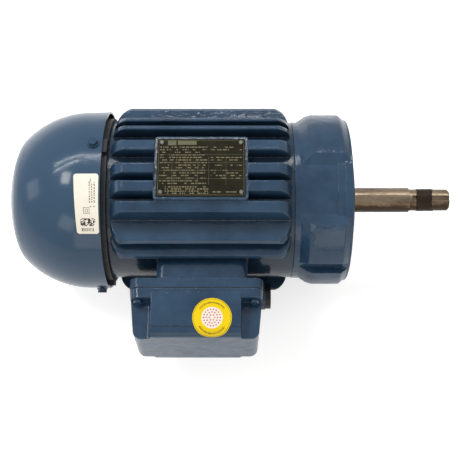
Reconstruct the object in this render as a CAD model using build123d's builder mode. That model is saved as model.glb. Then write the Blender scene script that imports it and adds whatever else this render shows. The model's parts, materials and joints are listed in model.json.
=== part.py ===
from build123d import *
import os
from math import cos, radians, sin, sqrt

# Close-coupled pump motor, millimetres.
# X runs along the shaft towards the pump, Z is up, the terminal box points to -Y.
# The origin is the centre of the mounting face.

os.makedirs("parts", exist_ok=True)

# Driving sizes of the pump end
shaft_reach = 107.95
impeller_radius = 11.106
impeller_length = 41.3
step_x = shaft_reach - impeller_length
seal_seat_length = 62.0
seal_radius = 12.7
pilot_radius = 57.15
pilot_length = 4.0
bolt_circle_radius = 74.61
flange_bolt_count = 4
flange_bolt_radius = 3.97
flange_bolt_depth = 16.0
flange_thickness = 20.0
pilot_recess_radius = seal_radius + 13.3
pilot_recess_depth = 8.0
slinger_seat_radius = seal_radius - 0.3
seal_seat_x = step_x - seal_seat_length

# Driving sizes of the body
barrel_radius = 80.0
barrel_wall = 6.5
barrel_length = 180.0
fin_height = 14.5
fin_radius = barrel_radius + fin_height
drive_end_x = -56.0
fan_end_x = drive_end_x - barrel_length
flange_height = 8.0
flange_radius = barrel_radius + flange_height
fin_inset_fan = 3.4
fin_inset_drive = 2.7
fin_corner_radius = 18.0
fin_tip_round = 1.6
root_sink = 6.0

# Driving sizes of the fan cover
cover_height = 11.0
cover_radius = barrel_radius + cover_height
cover_gap = 4.3
cover_rim_x = fan_end_x - cover_gap
cover_length = 100.2
cover_end_x = cover_rim_x - cover_length
cover_wall = 1.8

# Driving sizes of the terminal box
neck_setback = 89.0
neck_centre_x = drive_end_x - neck_setback
box_shift = 4.8
box_centre_x = neck_centre_x - box_shift
box_length = 126.5
box_height = 92.0
neck_height = 22.5
box_base_y = -barrel_radius - neck_height
box_base_depth = 9.3
lid_depth = 45.0
lid_draft = 4.5
neck_half_height = 37.0
neck_length = 88.0

# Clearances
seat_gap = 0.05
ring_gap = 0.3
head_gap = 0.1
tip_play = 0.5
screw_play = 0.5
air_gap = 0.5
ball_gap = 0.03

# Sizes of the bearings
drive_bearing_bore = 15.0
drive_bearing_outer = 31.0
drive_bearing_width = 16.0
drive_bearing_setback = 16.0
drive_bearing_x = drive_end_x + drive_bearing_setback
fan_bearing_bore = 10.0
fan_bearing_outer = 23.5
fan_bearing_width = 14.0
fan_bearing_setback = 12.0
fan_bearing_x = fan_end_x - fan_bearing_setback

# Sizes of the active parts
core_setback = 40.0
core_start_x = fan_end_x + core_setback
core_length = 96.0
stator_bore = 45.0
stator_slots = 24
slot_depth = 14.0
slot_width = 6.0
coil_overhang = 24.0
rotor_bore = 17.5
end_ring_length = 9.0
end_ring_radius = 40.0


def on_circle(radius, angle):
    """Y and Z of a point, with the angle from the terminal box side upwards."""
    return (-radius * cos(radians(angle)), radius * sin(radians(angle)))


# Finned frame
bore_radius = barrel_radius - barrel_wall
fin_start_x = fan_end_x + fin_inset_fan
fin_end_x = drive_end_x - fin_inset_drive
fin_length = fin_end_x - fin_start_x
wide_fin = 10.0
thin_fin = 5.0
fin_draft = 1.6
top_fins = [(-44.7, wide_fin), (-26.6, wide_fin), (-9.4, wide_fin), (15.2, wide_fin + 1.5)]
top_fins += [(37.6, thin_fin), (50.5, thin_fin)]
bottom_fins = [(-45.0, wide_fin), (-27.0, wide_fin), (-9.0, wide_fin)]
bottom_fins += [(9.0, wide_fin), (27.0, wide_fin), (45.0, wide_fin)]
side_fins = [(60.0, thin_fin), (46.5, thin_fin), (-46.5, thin_fin), (-60.0, thin_fin)]
back_fins = side_fins + [(33.0, thin_fin), (19.5, thin_fin), (6.0, thin_fin)]
back_fins += [(-6.0, thin_fin), (-19.5, thin_fin), (-33.0, thin_fin)]
fin_groups = [(0.0, top_fins), (180.0, bottom_fins), (90.0, side_fins), (-90.0, back_fins)]

# The plate pad stands on the top of the barrel
plate_setback = 89.3
plate_centre = (drive_end_x - plate_setback, -7.4)
plate_size = (84.0, 61.0)
pad_margin = 2.6
pad_corner = 3.0
pad_height = 8.6
pad_top_z = barrel_radius + pad_height
plate_thickness = 0.8
plate_corner = 1.5
rivet_inset = 4.2
rivet_radius = 1.5
rivet_depth = 3.5
rivet_grid = (plate_size[0] - 2 * rivet_inset, plate_size[1] - 2 * rivet_inset)
end_boss_width = 15.0
end_boss_length = 18.0
end_boss_depth = 13.5
end_boss_inner = bore_radius - end_boss_depth
end_boss_inset = 4.5
end_bolt_inset = 6.5
end_bolt_circle = bore_radius - end_bolt_inset
end_bolt_radius = 3.0
end_bolt_depth = 14.0
end_bolt_angles = [0.0, 90.0, 180.0, 270.0]
neck_end_y = box_base_y
neck_wall = 7.0
neck_corner = 8.0
base_screw_radius = 2.5
base_screw_depth = 8.0
base_screw_reach = (34.0, 26.0)
base_screw_spots = [
    (neck_centre_x + i * base_screw_reach[0], k * base_screw_reach[1])
    for i in (-1, 1)
    for k in (-1, 1)
]

with BuildPart() as frame:
    with BuildSketch(Plane.YZ.offset(fin_start_x)):
        Circle(barrel_radius - seat_gap)
        for turn, fins in fin_groups:
            for place, thickness in fins:
                root = sqrt(barrel_radius**2 - place**2) - root_sink
                left = place - thickness / 2
                right = place + thickness / 2
                with BuildSketch(mode=Mode.PRIVATE) as one_fin:
                    with BuildLine():
                        Polyline(
                            (left - fin_draft, root),
                            (right + fin_draft, root),
                            (right, sqrt(fin_radius**2 - right**2)),
                            (left, sqrt(fin_radius**2 - left**2)),
                            close=True,
                        )
                    make_face()
                    fillet(one_fin.vertices().sort_by(Axis.Y)[-2:], fin_tip_round)
                add(one_fin.sketch.rotate(Axis.Z, turn))
    extrude(amount=fin_length)
    with BuildSketch(Plane.XZ):
        with BuildLine():
            Polyline(
                (fin_start_x, 0),
                (fin_start_x, fin_radius + tip_play),
                (fin_end_x, fin_radius + tip_play),
                (fin_end_x, 0),
                close=True,
            )
        make_face()
        round_ends = [v for v in vertices() if v.Y > fin_radius / 2]
        fillet(round_ends, fin_corner_radius)
    revolve(axis=Axis.X, mode=Mode.INTERSECT)
    with BuildSketch(Plane.YZ.offset(fan_end_x)):
        Circle(barrel_radius)
    extrude(amount=barrel_length)
    with BuildSketch(Plane.XY.offset(barrel_radius - root_sink)):
        with Locations(plate_centre):
            RectangleRounded(plate_size[0] + 2 * pad_margin, plate_size[1] + 2 * pad_margin, pad_corner)
    extrude(amount=pad_top_z - barrel_radius + root_sink)
    with BuildSketch(Plane.XY.offset(pad_top_z)):
        with Locations(plate_centre):
            RectangleRounded(plate_size[0] + 2 * pad_margin, plate_size[1] + 2 * pad_margin, pad_corner)
    extrude(amount=fin_radius - barrel_radius, mode=Mode.SUBTRACT)
    with BuildSketch(Plane.XY.offset(pad_top_z)):
        with Locations(plate_centre):
            with GridLocations(rivet_grid[0], rivet_grid[1], 2, 2):
                Circle(rivet_radius + seat_gap)
    extrude(amount=-rivet_depth - seat_gap, mode=Mode.SUBTRACT)
    with BuildSketch(Plane.XZ.offset(barrel_radius - 2 * root_sink)):
        with Locations((neck_centre_x, 0)):
            RectangleRounded(neck_length, 2 * neck_half_height, neck_corner)
    extrude(amount=-neck_end_y - barrel_radius + 2 * root_sink)
    with BuildSketch(Plane.YZ.offset(fan_end_x)):
        Circle(bore_radius)
    extrude(amount=barrel_length, mode=Mode.SUBTRACT)
    with BuildSketch(Plane.XZ.offset(barrel_radius - 3 * root_sink)):
        with Locations((neck_centre_x, 0)):
            RectangleRounded(
                neck_length - 4 * neck_wall,
                2 * neck_half_height - 4 * neck_wall,
                neck_corner,
            )
    extrude(amount=-neck_end_y - barrel_radius + 3 * root_sink, mode=Mode.SUBTRACT)
    with BuildSketch(Plane.XZ.offset(-neck_end_y)):
        with Locations(base_screw_spots):
            Circle(base_screw_radius)
    extrude(amount=-base_screw_depth - 2, mode=Mode.SUBTRACT)
    for end_x, inward in ((fan_end_x, 1), (drive_end_x, -1)):
        with BuildSketch(Plane.YZ.offset(end_x + inward * end_boss_inset)):
            for angle in end_bolt_angles:
                with Locations(on_circle((end_boss_inner + bore_radius + 1) / 2, angle)):
                    Rectangle(
                        bore_radius + 1 - end_boss_inner,
                        end_boss_width,
                        rotation=-angle,
                    )
        extrude(amount=inward * end_boss_length)
        with BuildSketch(Plane.YZ.offset(end_x)):
            for angle in end_bolt_angles:
                with Locations(on_circle(end_bolt_circle, angle)):
                    Circle(end_bolt_radius)
        extrude(amount=inward * (end_bolt_depth + end_boss_inset), mode=Mode.SUBTRACT)
frame.part.label = "frame"
export_step(frame.part, "parts/frame.step")

# Stator core with its slots
core_end_x = core_start_x + core_length
slot_root = 1.5
slot_mouth = (5.0, 2.4)
with BuildPart() as stator_core:
    with BuildSketch(Plane.YZ.offset(core_start_x)):
        Circle(bore_radius - seat_gap)
        Circle(stator_bore, mode=Mode.SUBTRACT)
        with PolarLocations(stator_bore + slot_root + slot_depth / 2, stator_slots):
            Rectangle(slot_depth, slot_width, mode=Mode.SUBTRACT)
        with PolarLocations(stator_bore + 1.0, stator_slots):
            Rectangle(*slot_mouth, mode=Mode.SUBTRACT)
    extrude(amount=core_length)
stator_core.part.label = "stator_core"
export_step(stator_core.part, "parts/stator_core.step")

# Stator coils, a head at each end and the straight sides in the slots
slot_lining = 0.4
coil_inner = stator_bore + slot_root + 1.0
coil_outer = stator_bore + slot_root + slot_depth - 2.0
with BuildPart() as stator_coils:
    for head_x in (core_start_x - coil_overhang, core_end_x + ring_gap):
        with BuildSketch(Plane.YZ.offset(head_x)):
            Circle(coil_outer)
            Circle(coil_inner, mode=Mode.SUBTRACT)
        extrude(amount=coil_overhang - ring_gap)
    with BuildSketch(Plane.YZ.offset(core_start_x - 1.0)):
        with PolarLocations((coil_inner + coil_outer) / 2, stator_slots):
            Rectangle(coil_outer - coil_inner - slot_lining, slot_width - 2 * slot_lining)
    extrude(amount=core_length + 2.0)
stator_coils.part.label = "stator_coils"
export_step(stator_coils.part, "parts/stator_coils.step")

# Drive end shield with the mounting flange
shield_spigot = 4.0
end_head_radius = 5.0
end_head_height = 5.0
end_head_sink = 12.0
hub_radius = drive_bearing_outer + 8.0
shield_wall = 8.0
shaft_hole = seal_radius + 0.6
hub_step = 3.0
bearing_lip = 2.0
recess_draft = 2.0
shield_radius = barrel_radius + 0.5
rim_step = 1.2
rim_steps_x = (-14.8, -7.8)
rim_radius = shield_radius + 2 * rim_step
edge_break = 0.8

# Lugs round the flange: a ring with a sloping back and front, cut into spans. The angles
# of a span are those of its foot, its crest, its other crest end and its other foot.
lug_ring_depth = 4.5
lug_ring_radius = shield_radius - lug_ring_depth
lug_back_x = -50.0
lug_slope_top = (-41.5, flange_radius - 1.7)
lug_crest_x = (-36.0, -8.5)
lug_front_radius = shield_radius + 0.5
lug_round = 3.0
lug_outside = flange_radius + 42.0
lug_angles = [(89.5, 96.0, 177.0, 182.0), (15.0, 20.0, 49.0, 55.6), (-10.95, -10.0, 10.0, 10.95)]
lug_angles += [(194.0, 200.0, 230.0, 236.0), (267.0, 273.0, 320.0, 326.0)]


def lug_side(foot_angle, crest_angle):
    """Two points on the side line of a lug, one inside its foot and one beyond its crest."""
    foot = Vector(*on_circle(shield_radius, foot_angle))
    crest = Vector(*on_circle(flange_radius, crest_angle))
    return [foot * 2 - crest, crest * 2 - foot]


with BuildPart() as lug_ring:
    with BuildSketch(Plane.XZ):
        with BuildLine():
            Polyline(
                (lug_back_x, lug_ring_radius),
                (lug_back_x, shield_radius),
                lug_slope_top,
                (lug_crest_x[0], flange_radius),
                (lug_crest_x[1], flange_radius),
                (0, lug_front_radius),
                (0, lug_ring_radius),
                close=True,
            )
        make_face()
        crest_ends = [v for v in vertices() if v.Y > flange_radius - seat_gap]
        fillet(crest_ends, lug_round)
    revolve(axis=Axis.X)
    with BuildSketch(Plane.YZ.offset(lug_back_x)):
        for foot_start, crest_start, crest_end, foot_end in lug_angles:
            with BuildLine():
                inner_start, outer_start = lug_side(foot_start, crest_start)
                inner_end, outer_end = lug_side(foot_end, crest_end)
                outside = on_circle(lug_outside, (crest_start + crest_end) / 2)
                Polyline(inner_start, outer_start, outside, outer_end, inner_end, close=True)
            make_face()
    extrude(amount=-lug_back_x, mode=Mode.INTERSECT)

with BuildPart() as drive_shield:
    with BuildSketch(Plane.XZ):
        with BuildLine():
            Polyline(
                (drive_end_x, shield_radius - edge_break),
                (drive_end_x + edge_break, shield_radius),
                (rim_steps_x[0], shield_radius),
                (rim_steps_x[0], shield_radius + rim_step),
                (rim_steps_x[1], shield_radius + rim_step),
                (rim_steps_x[1], rim_radius),
                (-edge_break, rim_radius),
                (0, rim_radius - edge_break),
                (0, pilot_radius),
                (pilot_length, pilot_radius),
                (pilot_length, pilot_recess_radius),
                (pilot_length - pilot_recess_depth, pilot_recess_radius - recess_draft),
                (pilot_length - pilot_recess_depth, shaft_hole),
                (drive_bearing_x + drive_bearing_width, shaft_hole),
                (drive_bearing_x + drive_bearing_width, drive_bearing_outer),
                (drive_bearing_x - bearing_lip, drive_bearing_outer),
                (drive_bearing_x - bearing_lip, hub_radius),
                (-flange_thickness, hub_radius + hub_step),
                (-flange_thickness, barrel_radius - shield_wall),
                (drive_end_x - shield_spigot, barrel_radius - shield_wall),
                (drive_end_x - shield_spigot, bore_radius - seat_gap),
                (drive_end_x, bore_radius - seat_gap),
                close=True,
            )
        make_face()
    revolve(axis=Axis.X)
    add(lug_ring.part)
    with BuildSketch(Plane.YZ):
        with PolarLocations(bolt_circle_radius, flange_bolt_count, start_angle=45):
            Circle(flange_bolt_radius)
    extrude(amount=-flange_bolt_depth, mode=Mode.SUBTRACT)
    with BuildSketch(Plane.YZ):
        for angle in end_bolt_angles:
            with Locations(on_circle(end_bolt_circle, angle)):
                Circle(end_bolt_radius + screw_play)
    extrude(amount=drive_end_x - shield_spigot - 1, mode=Mode.SUBTRACT)
    with BuildSketch(Plane.YZ):
        for angle in end_bolt_angles:
            with Locations(on_circle(end_bolt_circle, angle)):
                Circle(end_head_radius + screw_play)
    extrude(amount=-end_head_sink, mode=Mode.SUBTRACT)
drive_shield.part.label = "drive_end_shield"
export_step(drive_shield.part, "parts/drive_end_shield.step")

# Fan end shield, which also carries the cover
ring_height = 4.0
ring_radius = barrel_radius + ring_height
screw_angles = [101.5, -18.5, 221.5]
ring_length = 13.0
screw_x = fan_end_x - ring_length
screw_radius = 2.5
screw_bite = 7.0
lug_width = 16.0
lug_length = 9.0
cover_lug_radius = cover_radius - cover_wall - 3 * ring_gap
spring_space = 2.0
seat_x = fan_bearing_x - spring_space
shaft_gap = 0.6

with BuildPart() as fan_shield:
    with BuildSketch(Plane.XZ):
        with BuildLine():
            Polyline(
                (fan_end_x, bore_radius - seat_gap),
                (fan_end_x, ring_radius),
                (fan_end_x - ring_length, ring_radius),
                (fan_end_x - ring_length, ring_radius - 8),
                (fan_end_x - 10, ring_radius - 12),
                (fan_end_x - 10, fan_bearing_outer + 11),
                (seat_x - 6, fan_bearing_outer + 7),
                (seat_x - 6, fan_bearing_bore + shaft_gap),
                (seat_x, fan_bearing_bore + shaft_gap),
                (seat_x, fan_bearing_outer),
                (fan_end_x + 2, fan_bearing_outer),
                (fan_end_x + 2, fan_bearing_outer + 7),
                (fan_end_x - 2, fan_bearing_outer + 10),
                (fan_end_x - 2, bore_radius - 16),
                (fan_end_x + 4, bore_radius - 14),
                (fan_end_x + 4, bore_radius - seat_gap),
                close=True,
            )
        make_face()
    revolve(axis=Axis.X)
    with BuildSketch(Plane.YZ.offset(fan_end_x)):
        for angle in screw_angles:
            with Locations(on_circle((ring_radius - 10 + cover_lug_radius) / 2, angle)):
                Rectangle(cover_lug_radius - ring_radius + 10, lug_width, rotation=-angle)
    extrude(amount=screw_x - lug_length - fan_end_x)
    with BuildSketch(Plane.YZ.offset(fan_end_x + 5)):
        for angle in end_bolt_angles:
            with Locations(on_circle(end_bolt_circle, angle)):
                Circle(end_bolt_radius + screw_play)
    extrude(amount=-20, mode=Mode.SUBTRACT)
    for angle in screw_angles:
        y, z = on_circle(1.0, angle)
        outward = Plane(origin=(screw_x, 0, 0), x_dir=(1, 0, 0), z_dir=(0, y, z))
        with BuildSketch(outward.offset(ring_radius - screw_bite - 2)):
            Circle(screw_radius + seat_gap)
        extrude(amount=20, mode=Mode.SUBTRACT)
fan_shield.part.label = "fan_end_shield"
export_step(fan_shield.part, "parts/fan_end_shield.step")


def cover_outline(inset):
    """Half outline of the fan cover, moved inwards by the inset."""
    with BuildLine() as outline:
        end = (cover_end_x + inset, 0)
        dome = (cover_end_x + 10.3 + inset, cover_radius - 35.0 - inset / 3)
        rim_of_dome = (cover_end_x + 17.0 + inset, cover_radius - 25.8 - inset / 2)
        shoulder = (cover_end_x + 38.3 + inset / 2, cover_radius - 10.7 - inset)
        straight = (cover_end_x + 84.1, cover_radius - 0.4 - inset)
        rim = (cover_rim_x, cover_radius - inset)
        ThreePointArc(end, (cover_end_x + 3.1 + inset, cover_radius - 57.0), dome)
        ThreePointArc(dome, (cover_end_x + 13.5 + inset, cover_radius - 29.8 - inset / 2), rim_of_dome)
        ThreePointArc(rim_of_dome, shoulder, straight)
        Line(straight, rim)
        Line(rim, (cover_rim_x, 0))
        Line((cover_rim_x, 0), end)
    return outline.wire()


# Fan cover with its air inlet grille
grille_rings = [(13.0, 19.0), (23.0, 29.0), (33.0, 39.0)]
grille_ribs = 6
grille_rib_width = 6.0
grille_rib_reach = 42.0
grille_cut = 14.0
with BuildPart() as fan_cover:
    with BuildSketch(Plane.XZ):
        make_face(cover_outline(0.0).edges())
        make_face(cover_outline(cover_wall).edges(), mode=Mode.SUBTRACT)
    revolve(axis=Axis.X)
    with BuildSketch(Plane.YZ.offset(cover_end_x - 2)):
        for low, high in reversed(grille_rings):
            Circle(high)
            Circle(low, mode=Mode.SUBTRACT)
        with PolarLocations(0, grille_ribs):
            with Locations((grille_rib_reach / 2, 0)):
                Rectangle(grille_rib_reach, grille_rib_width, mode=Mode.SUBTRACT)
    extrude(amount=grille_cut, mode=Mode.SUBTRACT)
    for angle in screw_angles:
        y, z = on_circle(1.0, angle)
        outward = Plane(origin=(screw_x, 0, 0), x_dir=(1, 0, 0), z_dir=(0, y, z))
        with BuildSketch(outward.offset(ring_radius)):
            Circle(screw_radius + screw_play)
        extrude(amount=20, mode=Mode.SUBTRACT)
fan_cover.part.label = "fan_cover"
export_step(fan_cover.part, "parts/fan_cover.step")

# Hexagon screws that hold the cover
screw_head_height = 3.6
screw_head_width = 8.0
washer_radius = 5.6
washer_height = 1.0
with BuildPart() as cover_screws:
    for angle in screw_angles:
        y, z = on_circle(1.0, angle)
        outward = Plane(origin=(screw_x, 0, 0), x_dir=(1, 0, 0), z_dir=(0, y, z))
        with BuildSketch(outward.offset(cover_radius + head_gap)):
            Circle(washer_radius)
        extrude(amount=washer_height)
        with BuildSketch(outward.offset(cover_radius + head_gap)):
            RegularPolygon(screw_head_width / 2, 6, major_radius=False)
        extrude(amount=washer_height + screw_head_height)
        with BuildSketch(outward.offset(ring_radius - screw_bite)):
            Circle(screw_radius)
        extrude(amount=cover_radius + head_gap - ring_radius + screw_bite)
cover_screws.part.label = "cover_screws"
export_step(cover_screws.part, "parts/cover_screws.step")

# Screws that hold the end shields on the frame
for name, end_x, outward_x, seat in (
    ("drive_shield_screws", drive_end_x, 1, -end_head_sink),
    ("fan_shield_screws", fan_end_x, -1, fan_end_x - 10),
):
    with BuildPart() as end_screws:
        tip_x = end_x - outward_x * (end_bolt_depth + 1)
        for angle in end_bolt_angles:
            with BuildSketch(Plane.YZ.offset(tip_x)):
                with Locations(on_circle(end_bolt_circle, angle)):
                    Circle(end_bolt_radius - seat_gap)
            extrude(amount=seat - tip_x + outward_x * head_gap)
            with BuildSketch(Plane.YZ.offset(seat + outward_x * head_gap)):
                with Locations(on_circle(end_bolt_circle, angle)):
                    Circle(end_head_radius)
            extrude(amount=outward_x * end_head_height)
    end_screws.part.label = name
    export_step(end_screws.part, f"parts/{name}.step")

# Shaft, stepped, with the keyway and the tapped end
fan_seat_radius = 8.0
fan_seat_x = fan_bearing_x - fan_bearing_width
fan_setback = 5.0
fan_back_x = fan_seat_x - fan_setback
fan_length = 31.0
fan_front_x = fan_back_x - fan_length
shaft_tail = 12.0
shaft_start_x = fan_front_x - shaft_tail
core_seat_radius = rotor_bore - 0.02
collar_radius = 20.0
keyway_length = 38.5
keyway_width = 4.76
keyway_depth = 2.4
keyway_angle = 77.0
end_thread_radius = 3.97
end_thread_depth = 28.0
end_chamfer = (1.6, 1.2)
shoulder_height = 3.5
with BuildPart() as shaft:
    with BuildSketch(Plane.XZ):
        with BuildLine():
            Polyline(
                (shaft_start_x, 0),
                (shaft_start_x, fan_seat_radius - 1),
                (shaft_start_x + 1, fan_seat_radius),
                (fan_seat_x, fan_seat_radius),
                (fan_seat_x, fan_bearing_bore),
                (fan_bearing_x + fan_bearing_width, fan_bearing_bore),
                (fan_bearing_x + fan_bearing_width, fan_bearing_bore + shoulder_height),
                (core_start_x - 6, fan_bearing_bore + shoulder_height),
                (core_start_x - 6, core_seat_radius),
                (core_end_x + 4, core_seat_radius),
                (core_end_x + 4, collar_radius),
                (core_end_x + 12, collar_radius),
                (core_end_x + 12, drive_bearing_bore + shoulder_height),
                (drive_bearing_x, drive_bearing_bore + shoulder_height),
                (drive_bearing_x, drive_bearing_bore),
                (drive_bearing_x + drive_bearing_width - 1, drive_bearing_bore),
                (drive_bearing_x + drive_bearing_width - 1, slinger_seat_radius),
                (seal_seat_x, slinger_seat_radius),
                (seal_seat_x, seal_radius),
                (step_x, seal_radius),
                (step_x, impeller_radius),
                (shaft_reach - end_chamfer[0], impeller_radius),
                (shaft_reach, impeller_radius - end_chamfer[1]),
                (shaft_reach, 0),
                close=True,
            )
        make_face()
    revolve(axis=Axis.X)
    with BuildSketch(Plane.YZ.offset(shaft_reach)):
        Circle(end_thread_radius)
    extrude(amount=-end_thread_depth, mode=Mode.SUBTRACT)
    y, z = on_circle(1.0, keyway_angle)
    outward = Plane(origin=(shaft_reach - keyway_length, 0, 0), x_dir=(1, 0, 0), z_dir=(0, y, z))
    with BuildSketch(outward.offset(impeller_radius - keyway_depth)):
        with Locations((keyway_length / 2 + 2, 0)):
            Rectangle(keyway_length + 4, keyway_width)
    extrude(amount=keyway_depth + 2, mode=Mode.SUBTRACT)
shaft.part.label = "shaft"
export_step(shaft.part, "parts/shaft.step")

# Squirrel cage rotor core
rotor_radius = stator_bore - air_gap
ring_blades = 12
ring_blade_size = (12.0, 3.0)
ring_blade_radius = rotor_bore + 15.0
ring_blade_reach = 7.0
end_ring_bore = rotor_bore + 8.0
with BuildPart() as rotor_core:
    with BuildSketch(Plane.YZ.offset(core_start_x)):
        Circle(rotor_radius)
        Circle(rotor_bore, mode=Mode.SUBTRACT)
    extrude(amount=core_length)
    with BuildSketch(Plane.YZ.offset(core_start_x - end_ring_length)):
        Circle(end_ring_radius)
        Circle(end_ring_bore, mode=Mode.SUBTRACT)
    extrude(amount=core_length + 2 * end_ring_length)
    with BuildSketch(Plane.YZ.offset(core_start_x - end_ring_length - ring_blade_reach)):
        with PolarLocations(ring_blade_radius, ring_blades):
            Rectangle(*ring_blade_size)
    extrude(amount=core_length + 2 * (end_ring_length + ring_blade_reach))
    with BuildSketch(Plane.YZ.offset(core_start_x)):
        Circle(rotor_bore)
    extrude(amount=core_length, mode=Mode.SUBTRACT)
rotor_core.part.label = "rotor_core"
export_step(rotor_core.part, "parts/rotor_core.step")

# Ball bearings
ring_wall_share = 0.21
ball_share = 0.3
cage_half_wall = 1.0
cage_rim = 1.0
bearings = (
    ("drive", drive_bearing_x, drive_bearing_bore, drive_bearing_outer, drive_bearing_width, 9),
    ("fan", fan_bearing_x, fan_bearing_bore, fan_bearing_outer, fan_bearing_width, 8),
)
for side, start_x, bore, outer, width, ball_count in bearings:
    ball_radius = ball_share * (outer - bore)
    pitch = (bore + outer) / 2
    wall = ring_wall_share * (outer - bore)
    middle = start_x + width / 2
    for ring, inner_r, outer_r in (
        ("outer_ring", outer - wall, outer - seat_gap),
        ("inner_ring", bore + seat_gap / 2, bore + wall),
    ):
        with BuildPart() as bearing_ring:
            with BuildSketch(Plane.XZ):
                with Locations((middle, (inner_r + outer_r) / 2)):
                    Rectangle(width, outer_r - inner_r)
                with Locations((middle, pitch)):
                    Circle(ball_radius + ball_gap, mode=Mode.SUBTRACT)
            revolve(axis=Axis.X)
        bearing_ring.part.label = f"{side}_bearing_{ring}"
        export_step(bearing_ring.part, f"parts/{side}_bearing_{ring}.step")
    with BuildPart() as balls:
        for index in range(ball_count):
            ball_y, ball_z = on_circle(pitch, 360 * index / ball_count)
            with Locations((middle, ball_y, ball_z)):
                Sphere(ball_radius)
    balls.part.label = f"{side}_bearing_balls"
    export_step(balls.part, f"parts/{side}_bearing_balls.step")
    with BuildPart() as cage:
        with BuildSketch(Plane.YZ.offset(middle - ball_radius - cage_rim)):
            Circle(pitch + cage_half_wall)
            Circle(pitch - cage_half_wall, mode=Mode.SUBTRACT)
        extrude(amount=2 * (ball_radius + cage_rim))
        for index in range(ball_count):
            ball_y, ball_z = on_circle(pitch, 360 * index / ball_count)
            with Locations((middle, ball_y, ball_z)):
                Sphere(ball_radius + 3 * ball_gap, mode=Mode.SUBTRACT)
    cage.part.label = f"{side}_bearing_cage"
    export_step(cage.part, f"parts/{side}_bearing_cage.step")

# Wave spring that preloads the fan bearing
with BuildPart() as wave_spring:
    with BuildSketch(Plane.YZ.offset(seat_x + 0.2)):
        Circle(fan_bearing_outer - 0.4)
        Circle(fan_bearing_outer - 4.0, mode=Mode.SUBTRACT)
    extrude(amount=spring_space - 0.4)
wave_spring.part.label = "preload_spring"
export_step(wave_spring.part, "parts/preload_spring.step")

# Rubber slingers on the shaft
for name, start_x, bore, reach in (
    ("drive_slinger", -3.6, slinger_seat_radius, 9.5),
    ("fan_slinger", seat_x - 6 - 5.0, fan_bearing_bore, 8.0),
):
    facing = 1 if name == "fan_slinger" else -1
    with BuildPart() as slinger:
        with BuildSketch(Plane.XZ):
            with BuildLine():
                if facing > 0:
                    lip_x, back_x = start_x + 4.7, start_x
                else:
                    lip_x, back_x = start_x, start_x + 6.0
                Polyline(
                    (back_x, bore + seat_gap),
                    (back_x, bore + reach * 0.55),
                    ((back_x + lip_x) / 2, bore + reach * 0.55),
                    (lip_x, bore + reach),
                    (lip_x - facing * 0.8, bore + reach * 0.45),
                    (lip_x - facing * 1.2, bore + seat_gap),
                    close=True,
                )
            make_face()
        revolve(axis=Axis.X)
    slinger.part.label = name
    export_step(slinger.part, f"parts/{name}.step")

# Cooling fan
fan_blades = 8
fan_hub_radius = 17.0
fan_tip_play = 19.0
fan_radius = cover_radius - fan_tip_play
with BuildPart() as fan:
    with BuildSketch(Plane.XZ):
        with BuildLine():
            Polyline(
                (fan_back_x, fan_seat_radius + seat_gap),
                (fan_back_x, fan_radius - 8),
                (fan_back_x - 2.5, fan_radius - 8),
                (fan_back_x - 3.0, fan_hub_radius + 6),
                (fan_back_x - 9.0, fan_hub_radius),
                (fan_front_x - 2, fan_hub_radius - 2),
                (fan_front_x - 2, fan_seat_radius + seat_gap),
                close=True,
            )
        make_face()
    revolve(axis=Axis.X)
    with BuildSketch(Plane.YZ.offset(fan_back_x - 2)):
        with PolarLocations((fan_hub_radius - 2 + fan_radius) / 2, fan_blades):
            Rectangle(fan_radius - fan_hub_radius + 2, 2.6)
    extrude(amount=fan_front_x - fan_back_x + 2)
fan.part.label = "cooling_fan"
export_step(fan.part, "parts/cooling_fan.step")

with BuildPart() as fan_clip:
    with BuildSketch(Plane.YZ.offset(fan_front_x - 3.4)):
        Circle(fan_seat_radius + 3.5)
        Circle(fan_seat_radius + seat_gap, mode=Mode.SUBTRACT)
    extrude(amount=1.3)
fan_clip.part.label = "fan_clip"
export_step(fan_clip.part, "parts/fan_clip.step")

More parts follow.
